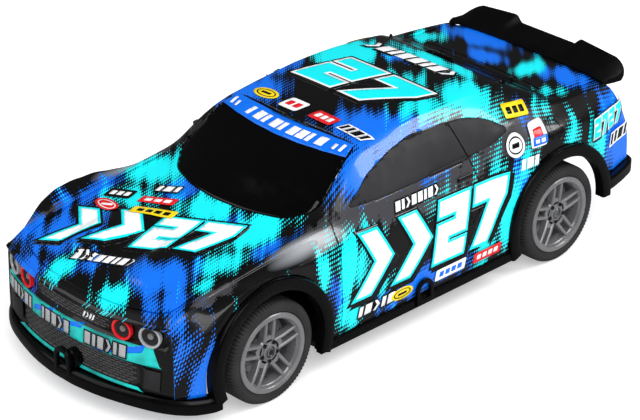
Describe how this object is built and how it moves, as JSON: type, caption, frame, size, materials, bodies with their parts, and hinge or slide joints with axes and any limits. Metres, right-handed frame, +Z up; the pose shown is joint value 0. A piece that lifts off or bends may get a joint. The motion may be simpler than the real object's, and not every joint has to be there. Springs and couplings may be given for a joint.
{
  "type": "remote control car",
  "caption": "Toy muscle coupe with a printed lift-off body, black lower trim and spoiler, spoked wheels, steering front wheels and a motor driven rear axle.",
  "frame": {"origin": "on the ground midway between the axles, on the centre plane", "axes": "+Y towards the rear, +X towards the car's left side, +Z up"},
  "size_m": [0.117, 0.27, 0.08],
  "materials": {
    "body_livery": "glossy printed shell",
    "dark_window": "glossy black insert",
    "black_trim": "satin moulded plastic",
    "headlight": "silvered lamp",
    "red_lens": "clear red plastic",
    "grey_rim": "satin grey moulding",
    "rubber_tyre": "soft matt rubber",
    "steel": "turned or stamped metal",
    "black_nylon": "moulded nylon",
    "white_nylon": "moulded nylon",
    "battery_wrap": "shrink wrap",
    "circuit_board": "coated board with parts",
    "cable": "insulated wire"
  },
  "bodies": {
    "chassis": {"lower_trim": "black_trim", "chassis_plate": "black_nylon", "lower_front_beam": "black_nylon", "upper_front_beam": "black_nylon", "front_bulkhead": "black_nylon", "kingpin_left": "steel", "kingpin_right": "steel", "servo_case": "black_nylon", "gearbox_housing": "black_nylon", "gearbox_cover": "black_nylon", "motor": "steel", "axle_bearing_left": "steel", "axle_bearing_right": "steel", "battery_pack": "battery_wrap", "circuit_board": "circuit_board", "antenna_wire": "cable", "battery_cable": "cable", "motor_cable": "cable", "switch_housing": "black_nylon"},
    "shell": {"body_shell": "body_livery", "windshield": "dark_window", "rear_window": "dark_window", "side_window_left": "dark_window", "side_window_right": "dark_window", "upper_grille": "black_trim", "lower_grille": "black_trim", "headlight_outer_left": "headlight", "headlight_inner_left": "headlight", "headlight_outer_right": "headlight", "headlight_inner_right": "headlight", "tail_light_left": "red_lens", "tail_light_right": "red_lens", "rear_spoiler": "black_trim"},
    "rear_axle_set": {"rear_axle": "steel", "spur_gear": "white_nylon", "rear_rim_left": "grey_rim", "rear_tyre_left": "rubber_tyre", "rear_brake_disc_left": "steel", "rear_wheel_nut_left": "steel", "rear_rim_right": "grey_rim", "rear_tyre_right": "rubber_tyre", "rear_brake_disc_right": "steel", "rear_wheel_nut_right": "steel"},
    "pinion": {"motor_pinion": "steel"},
    "left_knuckle": {"steering_knuckle_left": "black_nylon"},
    "right_knuckle": {"steering_knuckle_right": "black_nylon"},
    "tie_rod": {"tie_rod": "steel"},
    "servo_horn": {"servo_horn": "white_nylon"},
    "front_left_wheel": {"front_rim_left": "grey_rim", "front_tyre_left": "rubber_tyre", "front_brake_disc_left": "steel", "front_wheel_nut_left": "steel"},
    "front_right_wheel": {"front_rim_right": "grey_rim", "front_tyre_right": "rubber_tyre", "front_brake_disc_right": "steel", "front_wheel_nut_right": "steel"},
    "battery_clamp": {"battery_clamp": "black_nylon"},
    "switch_slider": {"power_switch_slider": "red_lens"}
  },
  "joints": [
    {"name": "body_shell_lift", "type": "slide", "parent": "chassis", "child": "shell", "axis": [0, 0, 1], "range_m": [0, 0.06]},
    {"name": "rear_axle_spin", "type": "hinge", "parent": "chassis", "child": "rear_axle_set", "pos_m": [0, 0.08, 0.021], "axis": [1, 0, 0], "continuous": true},
    {"name": "motor_shaft_spin", "type": "hinge", "parent": "chassis", "child": "pinion", "pos_m": [0, 0.0679, 0.02664], "axis": [1, 0, 0], "continuous": true},
    {"name": "steer_left", "type": "hinge", "parent": "chassis", "child": "left_knuckle", "pos_m": [0.039, -0.08, 0.021], "axis": [0, 0, 1], "range_deg": [-18, 18]},
    {"name": "steer_right", "type": "hinge", "parent": "chassis", "child": "right_knuckle", "pos_m": [-0.039, -0.08, 0.021], "axis": [0, 0, 1], "range_deg": [-18, 18]},
    {"name": "tie_rod_slide", "type": "slide", "parent": "chassis", "child": "tie_rod", "axis": [1, 0, 0], "range_m": [-0.0046, 0.0046]},
    {"name": "servo_horn_turn", "type": "hinge", "parent": "chassis", "child": "servo_horn", "pos_m": [0, -0.052, 0.027], "axis": [0, 0, 1], "range_deg": [-18.5, 18.5]},
    {"name": "front_left_wheel_spin", "type": "hinge", "parent": "left_knuckle", "child": "front_left_wheel", "pos_m": [0.05, -0.08, 0.021], "axis": [1, 0, 0], "continuous": true},
    {"name": "front_right_wheel_spin", "type": "hinge", "parent": "right_knuckle", "child": "front_right_wheel", "pos_m": [-0.05, -0.08, 0.021], "axis": [1, 0, 0], "continuous": true},
    {"name": "battery_clamp_swing", "type": "hinge", "parent": "chassis", "child": "battery_clamp", "pos_m": [0.0215, 0.005, 0.031], "axis": [0, 1, 0], "range_deg": [0, 90]},
    {"name": "power_switch_slide", "type": "slide", "parent": "chassis", "child": "switch_slider", "axis": [0, 1, 0], "range_m": [0, 0.004]}
  ],
  "couplings": [
    {"joint": "motor_shaft_spin", "follows": "rear_axle_spin", "ratio": -3.4},
    {"joint": "steer_right", "follows": "steer_left", "ratio": 1},
    {"joint": "tie_rod_slide", "follows": "steer_left", "m_per_rad": -0.014},
    {"joint": "servo_horn_turn", "follows": "steer_left", "ratio": -1}
  ]
}
